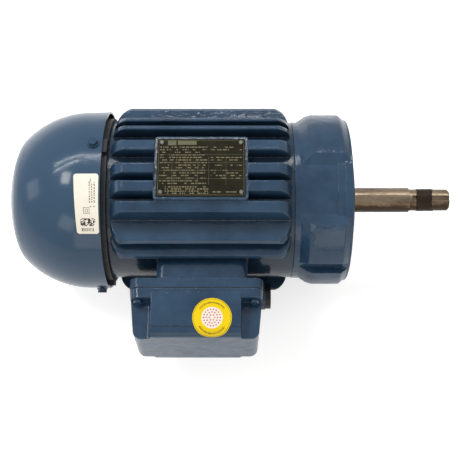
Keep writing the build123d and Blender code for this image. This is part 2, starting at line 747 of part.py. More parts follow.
# Terminal box base, a tray with a conduit hub
box_corner = 9.0
tray_floor = 4.0
base_wall = 4.5
corner_block = 17.0
pocket_corner = 4.0
hub_wall = 3.5
hub_skin = 3.0
lid_screw_radius = 2.0
lid_thread_depth = 6.0
tray_front_y = box_base_y - box_base_depth
hub_centre = (box_base_y + 5.0, -21.0)
hub_block = 14.0
hub_reach = 4.0
conduit_radius = 10.5
box_right_x = box_centre_x + box_length / 2
lid_screw_inset = 8.5
lid_screw_spots = [
    (box_centre_x + i * (box_length / 2 - lid_screw_inset), k * (box_height / 2 - lid_screw_inset))
    for i in (-1, 1)
    for k in (-1, 1)
]
with BuildPart() as box_base:
    with BuildSketch(Plane.XZ.offset(-box_base_y)):
        with Locations((box_centre_x, 0)):
            RectangleRounded(box_length, box_height, box_corner)
    extrude(amount=box_base_depth)
    with BuildSketch(Plane.XZ.offset(-box_base_y + tray_floor)):
        with Locations((box_centre_x, 0)):
            RectangleRounded(box_length - 2 * corner_block, box_height - 2 * base_wall, pocket_corner)
            RectangleRounded(box_length - 2 * base_wall, box_height - 2 * corner_block, pocket_corner)
    extrude(amount=box_base_depth, mode=Mode.SUBTRACT)
    with BuildSketch(Plane.YZ.offset(box_right_x - hub_block)):
        with Locations(hub_centre):
            Circle(conduit_radius + hub_wall)
        with Locations(((hub_centre[0] + tray_front_y) / 2, hub_centre[1])):
            Rectangle(hub_centre[0] - tray_front_y, 2 * (conduit_radius + hub_wall))
    extrude(amount=hub_block - base_wall + 1)
    with BuildSketch(Plane.YZ.offset(box_right_x - base_wall)):
        with Locations(hub_centre):
            Circle(conduit_radius + hub_wall)
    extrude(amount=base_wall + hub_reach)
    with BuildSketch(Plane.YZ.offset(box_right_x + hub_reach)):
        with Locations(hub_centre):
            Circle(conduit_radius)
    extrude(amount=-hub_reach - hub_block + hub_skin, mode=Mode.SUBTRACT)
    with BuildSketch(Plane.XZ.offset(-box_base_y - 1)):
        with Locations((neck_centre_x, 0)):
            RectangleRounded(
                neck_length - 5 * neck_wall,
                2 * neck_half_height - 5 * neck_wall,
                pocket_corner,
            )
        with Locations(base_screw_spots):
            Circle(base_screw_radius + 4 * seat_gap)
    extrude(amount=tray_floor + 2, mode=Mode.SUBTRACT)
    with BuildSketch(Plane.XZ.offset(-tray_front_y)):
        with Locations(lid_screw_spots):
            Circle(lid_screw_radius + seat_gap)
    extrude(amount=-lid_thread_depth - 1, mode=Mode.SUBTRACT)
box_base.part.label = "terminal_box_base"
export_step(box_base.part, "parts/terminal_box_base.step")

# Gasket and lid
gasket_thickness = 0.8
gasket_inset = 0.5
lid_screw_play = 0.4
lid_start_y = tray_front_y - gasket_thickness
with BuildPart() as gasket:
    with BuildSketch(Plane.XZ.offset(-tray_front_y)):
        with Locations((box_centre_x, 0)):
            RectangleRounded(
                box_length - 2 * gasket_inset,
                box_height - 2 * gasket_inset,
                box_corner - gasket_inset,
            )
            RectangleRounded(
                box_length - 2 * corner_block,
                box_height - 2 * base_wall,
                pocket_corner,
                mode=Mode.SUBTRACT,
            )
            RectangleRounded(
                box_length - 2 * base_wall,
                box_height - 2 * corner_block,
                pocket_corner,
                mode=Mode.SUBTRACT,
            )
        with Locations(lid_screw_spots):
            Circle(lid_screw_radius + lid_screw_play, mode=Mode.SUBTRACT)
    extrude(amount=gasket_thickness)
gasket.part.label = "lid_gasket"
export_step(gasket.part, "parts/lid_gasket.step")

# Lid with a raised panel above and below and a notch for the screw in each corner
lid_flange = 9.0
lid_edge_round = 8.0
lid_wall = 3.2
lid_end_wall = 4.5
notch_length = 21.0
notch_height = 15.0
notch_corner = 4.0
notch_play = 10.0
panel_length = 84.4
panel_height = 1.2
panel_start = 4.0
panel_end = lid_depth - lid_edge_round - 1.0
lid_end_y = lid_start_y - lid_depth
with BuildPart() as lid:
    with BuildSketch(Plane.XZ.offset(-lid_start_y)):
        with Locations((box_centre_x, 0)):
            RectangleRounded(box_length, box_height, box_corner)
    with BuildSketch(Plane.XZ.offset(-lid_end_y)):
        with Locations((box_centre_x, 0)):
            RectangleRounded(box_length - 2 * lid_draft, box_height - 2 * lid_draft, box_corner)
    loft()
    fillet(faces().sort_by(Axis.Y)[0].edges(), lid_edge_round)
    for depth in (panel_start, panel_end):
        drawn_in = lid_draft * depth / lid_depth
        with BuildSketch(Plane.XZ.offset(-lid_start_y + depth)):
            with Locations((box_centre_x, 0)):
                Rectangle(panel_length, box_height + 2 * (panel_height - drawn_in))
    loft()
    notch_x = (box_length + notch_play - notch_length) / 2
    notch_z = (box_height + notch_play - notch_height) / 2
    with BuildSketch(Plane.XZ.offset(-lid_start_y + lid_flange)):
        with Locations((box_centre_x, 0)):
            with GridLocations(2 * notch_x, 2 * notch_z, 2, 2):
                RectangleRounded(notch_length + notch_play, notch_height + notch_play, notch_corner)
    extrude(amount=lid_depth, mode=Mode.SUBTRACT)
    with BuildSketch(Plane.XZ.offset(-lid_start_y)):
        with Locations((box_centre_x, 0)):
            RectangleRounded(
                box_length - 2 * (notch_length + lid_wall),
                box_height - 2 * (base_wall + lid_draft),
                pocket_corner,
            )
            RectangleRounded(
                box_length - 2 * (base_wall + lid_draft),
                box_height - 2 * (notch_height + lid_wall),
                pocket_corner,
            )
    extrude(amount=lid_depth - lid_end_wall, mode=Mode.SUBTRACT)
    with BuildSketch(Plane.XZ.offset(-lid_start_y)):
        with Locations(lid_screw_spots):
            Circle(lid_screw_radius + lid_screw_play)
    extrude(amount=lid_flange + 2, mode=Mode.SUBTRACT)
lid.part.label = "terminal_box_lid"
export_step(lid.part, "parts/terminal_box_lid.step")

# Hexagon screws of the lid
lid_head_width = 7.8
lid_head_height = 3.4
with BuildPart() as lid_screws:
    with BuildSketch(Plane.XZ.offset(-lid_start_y + lid_flange + head_gap)):
        with Locations(lid_screw_spots):
            RegularPolygon(lid_head_width / 2, 6, major_radius=False)
    extrude(amount=lid_head_height)
    with BuildSketch(Plane.XZ.offset(-tray_front_y - lid_thread_depth)):
        with Locations(lid_screw_spots):
            Circle(lid_screw_radius)
    extrude(amount=lid_flange + gasket_thickness + lid_thread_depth + head_gap)
lid_screws.part.label = "lid_screws"
export_step(lid_screws.part, "parts/lid_screws.step")

# Plug in the conduit hub
plug_rim = 2.5
plug_head = 5.5
plug_length = 9.0
with BuildPart() as plug:
    with BuildSketch(Plane.YZ.offset(box_right_x + hub_reach + seat_gap)):
        with Locations(hub_centre):
            Circle(conduit_radius + plug_rim)
    extrude(amount=plug_head)
    with BuildSketch(Plane.YZ.offset(box_right_x + hub_reach + seat_gap)):
        with Locations(hub_centre):
            Circle(conduit_radius - 2 * seat_gap)
    extrude(amount=-plug_length)
plug.part.label = "conduit_plug"
export_step(plug.part, "parts/conduit_plug.step")

# Terminal block with studs on the tray floor
block_centre = (neck_centre_x, 0.0)
block_y = box_base_y - tray_floor
block_size = (60.0, 44.0)
block_corner = 3.0
block_foot = 4.0
block_height = 12.0
stud_pitch = (19.0, 24.0)
stud_hole_radius = 2.0
stud_length = 15.0
stud_nut_width = 7.0
stud_nut_height = 3.2
barrier_size = (2.4, 18.0)
with BuildPart() as block:
    with BuildSketch(Plane.XZ.offset(-block_y)):
        with Locations(block_centre):
            RectangleRounded(block_size[0], block_size[1], block_corner)
    extrude(amount=block_foot)
    with BuildSketch(Plane.XZ.offset(-block_y + block_foot)):
        with Locations(block_centre):
            with GridLocations(stud_pitch[0], stud_pitch[1], 4, 2):
                Rectangle(*barrier_size)
    extrude(amount=block_height)
    with BuildSketch(Plane.XZ.offset(-block_y - 1)):
        with Locations(block_centre):
            with GridLocations(stud_pitch[0], stud_pitch[1], 3, 2):
                Circle(stud_hole_radius)
    extrude(amount=block_height, mode=Mode.SUBTRACT)
block.part.label = "terminal_block"
export_step(block.part, "parts/terminal_block.step")

with BuildPart() as studs:
    with BuildSketch(Plane.XZ.offset(-block_y)):
        with Locations(block_centre):
            with GridLocations(stud_pitch[0], stud_pitch[1], 3, 2):
                Circle(stud_hole_radius - seat_gap)
    extrude(amount=stud_length)
    with BuildSketch(Plane.XZ.offset(-block_y + block_foot + seat_gap)):
        with Locations(block_centre):
            with GridLocations(stud_pitch[0], stud_pitch[1], 3, 2):
                RegularPolygon(stud_nut_width / 2, 6, major_radius=False)
    extrude(amount=stud_nut_height)
studs.part.label = "terminal_studs"
export_step(studs.part, "parts/terminal_studs.step")

# Screws that hold the box base on the neck
base_head_radius = 4.2
base_head_height = 3.0
with BuildPart() as base_screws:
    with BuildSketch(Plane.XZ.offset(-box_base_y - base_screw_depth)):
        with Locations(base_screw_spots):
            Circle(base_screw_radius - seat_gap)
    extrude(amount=base_screw_depth + tray_floor + 2 * seat_gap)
    with BuildSketch(Plane.XZ.offset(-box_base_y + tray_floor + seat_gap)):
        with Locations(base_screw_spots):
            Circle(base_head_radius)
    extrude(amount=base_head_height)
base_screws.part.label = "box_base_screws"
export_step(base_screws.part, "parts/box_base_screws.step")

# Data plate on its pad, with its rivets
rivet_head_step = 1.0
rivet_head_height = 1.2
rivet_head_taper = 30
plate_plane = Plane.XY.offset(pad_top_z)
with BuildPart() as plate:
    with BuildSketch(plate_plane):
        with Locations(plate_centre):
            RectangleRounded(plate_size[0], plate_size[1], plate_corner)
            with GridLocations(rivet_grid[0], rivet_grid[1], 2, 2):
                Circle(rivet_radius + seat_gap, mode=Mode.SUBTRACT)
    extrude(amount=plate_thickness)
plate.part.label = "data_plate"
export_step(plate.part, "parts/data_plate.step")

with BuildPart() as rivets:
    with BuildSketch(plate_plane.offset(-rivet_depth)):
        with Locations(plate_centre):
            with GridLocations(rivet_grid[0], rivet_grid[1], 2, 2):
                Circle(rivet_radius)
    extrude(amount=rivet_depth + plate_thickness + seat_gap)
    with BuildSketch(plate_plane.offset(plate_thickness + seat_gap)):
        with Locations(plate_centre):
            with GridLocations(rivet_grid[0], rivet_grid[1], 2, 2):
                Circle(rivet_radius + rivet_head_step)
    extrude(amount=rivet_head_height, taper=rivet_head_taper)
rivets.part.label = "plate_rivets"
export_step(rivets.part, "parts/plate_rivets.step")
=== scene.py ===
"""Looks of the close-coupled pump motor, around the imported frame. Metres, Z up, shaft along X."""
import json
import math
import random

import bmesh
import bpy
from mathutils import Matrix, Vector
from mathutils.bvhtree import BVHTree


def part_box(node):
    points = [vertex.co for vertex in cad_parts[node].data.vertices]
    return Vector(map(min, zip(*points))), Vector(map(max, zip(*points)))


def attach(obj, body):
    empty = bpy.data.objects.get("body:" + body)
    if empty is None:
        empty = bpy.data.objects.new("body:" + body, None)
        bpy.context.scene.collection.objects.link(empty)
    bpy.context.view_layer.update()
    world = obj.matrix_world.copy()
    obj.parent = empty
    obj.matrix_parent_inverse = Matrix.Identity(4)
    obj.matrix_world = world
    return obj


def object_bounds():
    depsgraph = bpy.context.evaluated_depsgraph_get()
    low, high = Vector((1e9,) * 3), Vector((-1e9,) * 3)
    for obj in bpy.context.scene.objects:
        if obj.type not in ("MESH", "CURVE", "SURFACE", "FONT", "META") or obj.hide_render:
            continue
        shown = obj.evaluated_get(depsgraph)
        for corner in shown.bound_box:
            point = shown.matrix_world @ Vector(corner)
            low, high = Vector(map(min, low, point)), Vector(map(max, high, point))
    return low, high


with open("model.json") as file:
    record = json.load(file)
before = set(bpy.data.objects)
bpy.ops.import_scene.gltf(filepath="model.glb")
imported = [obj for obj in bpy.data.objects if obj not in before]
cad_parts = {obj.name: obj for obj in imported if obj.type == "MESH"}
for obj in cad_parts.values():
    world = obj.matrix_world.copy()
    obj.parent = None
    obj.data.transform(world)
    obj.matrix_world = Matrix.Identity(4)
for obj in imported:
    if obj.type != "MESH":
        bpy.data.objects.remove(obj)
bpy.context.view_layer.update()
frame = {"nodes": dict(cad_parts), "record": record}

MM = 0.001

# Camera of the photograph: it looks at the shaft axis, and the shift puts the axis above the middle
VIEW_ELEVATION = 65.0
VIEW_DISTANCE = 0.936
VIEW_LENS = 70.5
VIEW_SENSOR = 36.0
VIEW_TARGET = (-0.1179, 0, 0)
VIEW_SHIFT = -30 / 460

# Paint and metal colours, linear
NAVY = (0.024, 0.060, 0.112, 1)
NAVY_DEEP = (0.012, 0.034, 0.070, 1)
# Painted shade: the darker navy deep between the fins
NAVY_GROOVE_SHADE = (0.012, 0.026, 0.046, 1)
# Light worn paint, also brightened as a painted highlight along the edges
NAVY_WORN_AND_HIGHLIGHT = (0.150, 0.200, 0.250, 1)
COVER_NAVY = (0.028, 0.066, 0.116, 1)
# Near-black end shield, darkened further as painted shade for the gap behind the fan cover
SHIELD_BLACK_AND_SHADE = (0.004, 0.005, 0.007, 1)
STEEL_BROWN = (0.205, 0.158, 0.112, 1)
STEEL_DARK = (0.036, 0.025, 0.016, 1)
ZINC = (0.42, 0.43, 0.44, 1)
ALUMINIUM = (0.55, 0.56, 0.57, 1)
CORE_GREY = (0.3, 0.3, 0.32, 1)
COIL_RED = (0.4, 0.15, 0.05, 1)
SPRING_GREY = (0.35, 0.35, 0.38, 1)
BEARING_GREY = (0.6, 0.6, 0.62, 1)
CAGE_GREY = (0.45, 0.45, 0.46, 1)
BRASS = (0.62, 0.44, 0.16, 1)
SEAL_BLACK = (0.012, 0.012, 0.013, 1)
GASKET_BLACK = (0.02, 0.02, 0.02, 1)
LEAD_BLACK = (0.03, 0.03, 0.03, 1)
PLASTIC_BLACK = (0.014, 0.014, 0.016, 1)
BLOCK_TAN = (0.25, 0.19, 0.1, 1)
TAPE_DARK = (0.024, 0.016, 0.009, 1)
PLATE_OLIVE = (0.022, 0.019, 0.010, 1)
PLATE_MARK = (0.17, 0.145, 0.075, 1)
PLATE_BLOCK = (0.09, 0.09, 0.040, 1)
RIVET_GREY = (0.09, 0.088, 0.08, 1)
LABEL_CREAM = (0.86, 0.81, 0.70, 1)
LABEL_INK = (0.05, 0.045, 0.04, 1)
STICKER_YELLOW = (0.84, 0.60, 0.002, 1)
STICKER_WHITE = (0.88, 0.82, 0.76, 1)
STICKER_BROWN = (0.16, 0.10, 0.01, 1)
STICKER_RED = (0.55, 0.10, 0.04, 1)
FLOOR_WHITE = (0.88, 0.87, 0.86, 1)
WORLD_LIGHT = (0.97, 0.98, 1.0, 1)
WHITE = (1, 1, 1, 1)

# Sockets of the Mix node when it mixes colours
MIX_FIRST, MIX_SECOND, MIX_RESULT = 6, 7, 2

# A noise texture mostly stays within these values
NOISE_SPAN = (0.3, 0.7)

# The rounded normal agrees this much with the plain one on an open face and on a full edge
EDGE_SPAN = (0.98, 0.86)
EDGE_SAMPLES = 6
SMALL_EDGE = 0.3 * MM

# A wave texture of scale 1 has about this many bands to the metre
WAVE_BANDS = 3.14

CLEAR_COAT = {"IOR": 1.1, "Coat Weight": 0.5, "Coat IOR": 1.5}
CASTING = {"roughness": 0.36, "grain": 0.16 * MM}

# On a casting: the band of worn paint and painted highlight by the edge's round, and the depth of
# the lumps by the grain's
WORN_AND_HIGHLIGHT_BAND = 1.2
LUMP_DEPTH = 2.4

# Distances from the shaft axis where the painted shade between the fins begins and is full
GROOVE_SHADE_SPAN = (93.0 * MM, 79.0 * MM)

# Dark of the shaft: painted shade grows downward between these heights on its lower side, and what
# it adds to the tarnish streaks, what the spots add, and the sums at which the dark begins and is
# full
LOWER_SHADE_HEIGHTS = (11.0 * MM, -2.0 * MM)
SHADE_BY_HEIGHT = (-0.10, 0.34)
TARNISH_BY_SPOTS = 0.22
TARNISH_AND_SHADE_SPAN = (0.46, 0.78)
STREAK_STRETCH = (14.0, 62.0, 62.0)
TOOL_RING_STRETCH = (2600.0, 12.0, 12.0)
TOOL_RING_DEPTH = 0.02 * MM


def feed(tree, node, inputs):
    """Feeds a node's inputs, each with a plain value or from another node's socket."""
    for key, value in inputs.items():
        if isinstance(value, bpy.types.NodeSocket):
            tree.links.new(value, node.inputs[key])
        else:
            node.inputs[key].default_value = value


def make_node(tree, kind, inputs=None, **settings):
    """One shader node with its settings and its inputs."""
    made = tree.nodes.new(kind)
    for key, value in settings.items():
        setattr(made, key, value)
    feed(tree, made, inputs or {})
    return made


def new_material(name):
    """A material, its tree and its Principled shader."""
    mat = bpy.data.materials.new(name)
    mat.use_nodes = True
    return mat, mat.node_tree, mat.node_tree.nodes["Principled BSDF"]


def object_place(tree, stretch=(1, 1, 1)):
    """Object coordinates in metres, stretched along the axes."""
    place = make_node(tree, "ShaderNodeTexCoord").outputs["Object"]
    mapping = make_node(tree, "ShaderNodeMapping", {"Vector": place, "Scale": stretch})
    return mapping.outputs["Vector"]


def noise(tree, place, scale, detail=3.0, roughness=0.55):
    """A noise texture, its scale in cycles to the metre."""
    inputs = {"Vector": place, "Scale": scale, "Detail": detail, "Roughness": roughness}
    return make_node(tree, "ShaderNodeTexNoise", inputs).outputs["Fac"]


def remap(tree, value, old, new=(0.0, 1.0)):
    """A value moved from one range to another, and held within it."""
    inputs = {"Value": value, "From Min": old[0], "From Max": old[1]}
    inputs.update({"To Min": new[0], "To Max": new[1]})
    return make_node(tree, "ShaderNodeMapRange", inputs).outputs["Result"]


def uneven(tree, place, scale, low=0.0, high=1.0):
    """A value that wanders between two in blotches, their scale in cycles to the metre."""
    return remap(tree, noise(tree, place, scale), NOISE_SPAN, (low, high))


def calculate(tree, operation, *values):
    """The result of a Math node."""
    made = make_node(tree, "ShaderNodeMath", dict(enumerate(values)), operation=operation)
    return made.outputs["Value"]


def mix_colour(tree, factor, first, second):
    """A colour between two."""
    inputs = {"Factor": factor, MIX_FIRST: first, MIX_SECOND: second}
    return make_node(tree, "ShaderNodeMix", inputs, data_type="RGBA").outputs[MIX_RESULT]


def darker(colour, share):
    """A colour at that share of its brightness."""
    return tuple(level * share for level in colour[:3]) + (1,)


def bump(tree, height, depth, normal=None, strength=1.0):
    """A bump of that depth in metres, on top of another normal."""
    inputs = {"Height": height, "Distance": depth, "Strength": strength}
    if normal is not None:
        inputs["Normal"] = normal
    return make_node(tree, "ShaderNodeBump", inputs).outputs["Normal"]


def soft_edges(tree, radius):
    """A normal that rounds the edges with that radius in metres."""
    made = make_node(tree, "ShaderNodeBevel", {"Radius": radius}, samples=EDGE_SAMPLES)
    return made.outputs["Normal"]


def edge_mask(tree, radius):
    """1 along convex and concave edges within that radius in metres, 0 on open faces."""
    plain = make_node(tree, "ShaderNodeNewGeometry").outputs["Normal"]
    normals = {0: soft_edges(tree, radius), 1: plain}
    agreed = make_node(tree, "ShaderNodeVectorMath", normals, operation="DOT_PRODUCT")
    return remap(tree, agreed.outputs["Value"], EDGE_SPAN)


def away_from_axis(tree, place):
    """The distance from the shaft axis in metres."""
    kind = "ShaderNodeVectorMath"
    across = make_node(tree, kind, {0: place, 1: (0, 1, 1)}, operation="MULTIPLY")
    reach = make_node(tree, kind, {0: across.outputs["Vector"]}, operation="LENGTH")
    return reach.outputs["Value"]


def cast_paint(name, roughness, grain, edge, groove_shade=None):
    """Glossy navy on a sand casting, worn light along the edges with a painted highlight, and
    painted shade between fins if given.
    """
    mat, tree, shader = new_material(name)
    place = object_place(tree)
    patches = remap(tree, noise(tree, place, scale=34.0, detail=4.0), old=(0.35, 0.7))
    body = mix_colour(tree, patches, NAVY, NAVY_DEEP)
    if groove_shade is not None:
        # Painted shade, darker towards the shaft axis, deep between the fins
        groove_shaded = remap(tree, away_from_axis(tree, place), GROOVE_SHADE_SPAN)
        body = mix_colour(tree, groove_shaded, body, groove_shade)
    # Paint worn light at the edges, also lighter there as a painted highlight
    chips = remap(tree, noise(tree, place, scale=260.0), old=(0.4, 0.65), new=(0.0, 0.4))
    worn_and_highlight = calculate(tree, "MULTIPLY", edge_mask(tree, WORN_AND_HIGHLIGHT_BAND * edge), chips)
    lumps = noise(tree, place, scale=110.0, detail=2.0)
    sand = noise(tree, place, scale=300.0, detail=2.0, roughness=0.6)
    normal = bump(tree, lumps, LUMP_DEPTH * grain, soft_edges(tree, edge))
    normal = bump(tree, sand, grain, normal)
    look = {
        "Base Color": mix_colour(tree, worn_and_highlight, body, NAVY_WORN_AND_HIGHLIGHT),
        "Roughness": uneven(tree, place, scale=90.0, low=roughness - 0.07, high=roughness + 0.1),
        "Coat Roughness": 0.08,
        "Normal": normal,
        "Coat Normal": normal,
    }
    feed(tree, shader, {**CLEAR_COAT, **look})
    return mat


def sheet_paint(name, colour, deep, roughness):
    """Smooth glossy paint on pressed steel, a little wavy and with a faint orange peel."""
    mat, tree, shader = new_material(name)
    place = object_place(tree)
    waves = noise(tree, place, scale=16.0, detail=1.0)
    peel = noise(tree, place, scale=300.0, detail=2.0)
    normal = bump(tree, waves, depth=0.3 * MM, strength=0.25)
    normal = bump(tree, peel, depth=0.008 * MM, normal=normal, strength=0.5)
    look = {
        "Base Color": mix_colour(tree, uneven(tree, place, scale=16.0), colour, deep),
        "Roughness": uneven(tree, place, scale=40.0, low=roughness, high=roughness + 0.08),
        "Coat Roughness": 0.14,
        "Normal": normal,
        "Coat Normal": normal,
    }
    feed(tree, shader, {**CLEAR_COAT, **look})
    return mat


def turned_steel(name, bright, dark, roughness):
    """Turned steel with tool rings round the X axis, tarnished in streaks, with painted shade on
    its lower side.
    """
    mat, tree, shader = new_material(name)
    place = object_place(tree)
    streaked = object_place(tree, STREAK_STRETCH)
    ringed = object_place(tree, TOOL_RING_STRETCH)
    streaks = noise(tree, streaked, scale=1.0, detail=5.0, roughness=0.6)
    spots = noise(tree, place, scale=240.0, roughness=0.6)
    height = make_node(tree, "ShaderNodeSeparateXYZ", {"Vector": place}).outputs["Z"]
    # Painted shade: the shaft darker on its lower side
    lower = remap(tree, height, LOWER_SHADE_HEIGHTS, SHADE_BY_HEIGHT)
    stain_and_shade = calculate(tree, "ADD", streaks, lower)
    stain_and_shade = calculate(tree, "MULTIPLY_ADD", spots, TARNISH_BY_SPOTS, stain_and_shade)
    rings = noise(tree, ringed, scale=1.0, detail=2.0)
    look = {
        "Metallic": 1.0,
        "Base Color": mix_colour(tree, remap(tree, stain_and_shade, TARNISH_AND_SHADE_SPAN), bright, dark),
        "Roughness": uneven(tree, place, scale=120.0, low=roughness - 0.06, high=roughness + 0.14),
        "Normal": bump(tree, rings, TOOL_RING_DEPTH, soft_edges(tree, SMALL_EDGE), strength=0.6),
    }
    feed(tree, shader, look)
    return mat


def plain_finish(name, colour, roughness, grain, depth, metallic=0.0, spread=0.35, ior=1.45):
    """A finish that darkens in patches by its spread, with a grain in cycles to the metre."""
    mat, tree, shader = new_material(name)
    place = object_place(tree)
    patches = remap(tree, noise(tree, place, scale=70.0, detail=4.0), NOISE_SPAN)
    grains = noise(tree, place, scale=grain, detail=2.0)
    look = {
        "Metallic": metallic,
        "IOR": ior,
        "Base Color": mix_colour(tree, patches, colour, darker(colour, 1 - spread)),
        "Roughness": uneven(tree, place, scale=160.0, low=0.85 * roughness, high=1.15 * roughness),
        "Normal": bump(tree, grains, depth, soft_edges(tree, SMALL_EDGE), strength=0.6),
    }
    feed(tree, shader, look)
    return mat


def banded_finish(name, colour, roughness, pitch, depth, metallic, across):
    """A finish with fine bands across an axis, as on stacked sheets or wound wire."""
    mat, tree, shader = new_material(name)
    inputs = {"Vector": object_place(tree), "Scale": 1.0 / pitch / WAVE_BANDS}
    inputs.update({"Distortion": 0.6, "Detail": 1.0})
    bands = make_node(tree, "ShaderNodeTexWave", inputs, bands_direction=across).outputs["Fac"]
    look = {
        "Metallic": metallic,
        "Base Color": mix_colour(tree, bands, darker(colour, 0.5), colour),
        "Roughness": roughness,
        "Normal": bump(tree, bands, depth),
    }
    feed(tree, shader, look)
    return mat


def printed(name, colour, roughness=0.45):
    """Ink or paper, with a slight unevenness."""
    return plain_finish(name, colour, roughness, grain=900.0, depth=0.01 * MM, spread=0.08, ior=1.3)


def metal(colour, roughness, grain, depth, **more):
    """What plain_finish takes for a bare metal."""
    return dict(colour=colour, roughness=roughness, grain=grain, depth=depth, metallic=1.0, **more)


PLAIN_FINISHES = {
    "shield_paint": dict(colour=SHIELD_BLACK_AND_SHADE, roughness=0.6, grain=300.0, depth=0.2 * MM),
    "zinc_steel": metal(ZINC, roughness=0.32, grain=500.0, depth=0.02 * MM),
    "rotor_cast": metal(ALUMINIUM, roughness=0.4, grain=300.0, depth=0.05 * MM),
    "seal_rubber": dict(colour=SEAL_BLACK, roughness=0.55, grain=500.0, depth=0.04 * MM),
    "fan_plastic": dict(colour=PLASTIC_BLACK, roughness=0.45, grain=800.0, depth=0.02 * MM),
    "spring_steel": metal(SPRING_GREY, roughness=0.3, grain=500.0, depth=0.02 * MM),
    "gasket_rubber": dict(colour=GASKET_BLACK, roughness=0.6, grain=500.0, depth=0.04 * MM),
    "plug_plastic": dict(
        colour=PLASTIC_BLACK, roughness=0.4, grain=800.0, depth=0.02 * MM, ior=1.3
    ),
    "block_plastic": dict(colour=BLOCK_TAN, roughness=0.45, grain=800.0, depth=0.02 * MM),
    "brass": metal(BRASS, roughness=0.3, grain=500.0, depth=0.02 * MM),
    "plate_metal": dict(
        colour=PLATE_OLIVE, roughness=0.45, grain=700.0, depth=0.02 * MM, spread=0.5, ior=1.12
    ),
    "rivet_metal": metal(RIVET_GREY, roughness=0.4, grain=400.0, depth=0.03 * MM, spread=0.15),
    "bearing_steel": metal(BEARING_GREY, roughness=0.15, grain=400.0, depth=0.005 * MM),
    "cage_steel": metal(CAGE_GREY, roughness=0.3, grain=400.0, depth=0.01 * MM),
    "lead_insulation": dict(colour=LEAD_BLACK, roughness=0.4, grain=500.0, depth=0.02 * MM),
}

BANDED_FINISHES = {
    "core_steel": dict(
        colour=CORE_GREY, roughness=0.4, pitch=0.5 * MM, depth=0.1 * MM, metallic=1.0, across="X"
    ),
    "coil_varnish": dict(
        colour=COIL_RED, roughness=0.3, pitch=1.0 * MM, depth=0.3 * MM, metallic=0.0, across="Z"
    ),
}


def slot_materials():
    """The finish of each material slot of the record."""
    finishes = {
        "frame_paint": cast_paint("frame_paint", edge=0.9 * MM, **CASTING),
        "painted_screw": cast_paint("painted_screw", roughness=0.3, grain=0.05 * MM, edge=0.5 * MM),
        "cover_paint": sheet_paint("cover_paint", COVER_NAVY, NAVY, roughness=0.3),
        "shaft_steel": turned_steel("shaft_steel", STEEL_BROWN, STEEL_DARK, roughness=0.34),
    }
    for name, look in PLAIN_FINISHES.items():
        finishes[name] = plain_finish(name, **look)
    for name, look in BANDED_FINISHES.items():
        finishes[name] = banded_finish(name, **look)
    return finishes


def dress_frame():
    """Gives every CAD node the finish of its slot, and the finned frame a paint of its own."""
    finishes = slot_materials()
    # The finned frame gets painted shade between its fins
    finned = cast_paint("fin_paint", edge=1.8 * MM, groove_shade=NAVY_GROOVE_SHADE, **CASTING)
    for part in frame["record"]["subparts"]:
        node = frame["nodes"][part["node"]]
        finish = finned if part["node"] == "frame" else finishes[part["material_slot"]]
        for place in node.material_slots:
            place.material = finish


def between(ends, share):
    """The value at a share of the way between two."""
    return ends[0] + (ends[1] - ends[0]) * share


def surface_of(node_name):
    """A tree for dropping points on a CAD node."""
    mesh = bmesh.new()
    mesh.from_mesh(frame["nodes"][node_name].data)
    tree = BVHTree.FromBMesh(mesh)
    mesh.free()
    return tree


def laid_on(surface, ray, lift):
    """The point where a ray, its start and its direction, meets a surface, lifted off it."""
    hit, normal, _, _ = surface.ray_cast(*ray)
    return hit + normal * lift


def add_grid(mesh, steps, point, closed=False):
    """Faces over a grid of points. point takes the shares across and along, from 0 to 1."""
    columns = steps[0] if closed else steps[0] + 1
    rows = [
        [mesh.verts.new(point(i / steps[0], j / steps[1])) for i in range(columns)]
        for j in range(steps[1] + 1)
    ]
    for near, far in zip(rows, rows[1:]):
        for i in range(steps[0]):
            after = (i + 1) % columns
            mesh.faces.new((near[i], near[after], far[after], far[i]))
    return rows


def add_piece(name, mesh, finish, body):
    """Links a mesh as a piece that rides on a body."""
    data = bpy.data.meshes.new(name)
    mesh.to_mesh(data)
    mesh.free()
    piece = bpy.data.objects.new(name, data)
    bpy.context.scene.collection.objects.link(piece)
    data.materials.append(finish)
    for face in data.polygons:
        face.use_smooth = True
    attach(piece, body)
    return piece


# Label on the fan cover: its left edge leans, and its corners are round. Its arc is in degrees
# above the front, and each pair gives its lower and its upper end
LABEL_LEFT = (-262.3 * MM, -265.6 * MM)
LABEL_RIGHT = (-241.4 * MM, -241.8 * MM)
LABEL_ARC = (44.4, 80.9)
LABEL_CORNER = 2.6 * MM
LABEL_LIFT = 0.12 * MM
LABEL_STEPS = (16, 40)
INK_LIFT = 0.05 * MM
COVER_RADIUS = 91.0 * MM
COVER_RAY_START = 150.0 * MM

# Marks on the label, in shares of its width and height
LABEL_SEED = 11
MARK_STEPS = (3, 2)
DASH_COLUMNS = ((0.62, 0.34), (0.72, 0.30), (0.82, 0.34))
DASH_FOOT = 0.52
DASH_WIDTH = 0.035
DASH_LENGTH = (0.012, 0.04)
DASH_GAP = (0.008, 0.02)
SINGLE_MARKS = ((0.68, 0.86, 0.02, 0.06), (0.66, 0.45, 0.05, 0.018), (0.80, 0.45, 0.05, 0.018))
RULED_BOXES = ((0.36, 0.34, 0.62, 0.44), (0.43, 0.365, 0.55, 0.415))
RULE_WIDTH, RULE_HEIGHT = 0.02, 0.006
CODE_CORNER = (0.20, 0.135)
CODE_CELL = (0.055, 0.016)
CODE_COLUMNS, CODE_ROWS = 12, 8
CODE_CHANCE = 0.52
BARS_ACROSS = (0.24, 0.80)
BARS_FOOT = 0.045
BAR_HEIGHT = 0.055
BAR_WIDTH = (0.012, 0.04)
BAR_GAP = (0.015, 0.04)


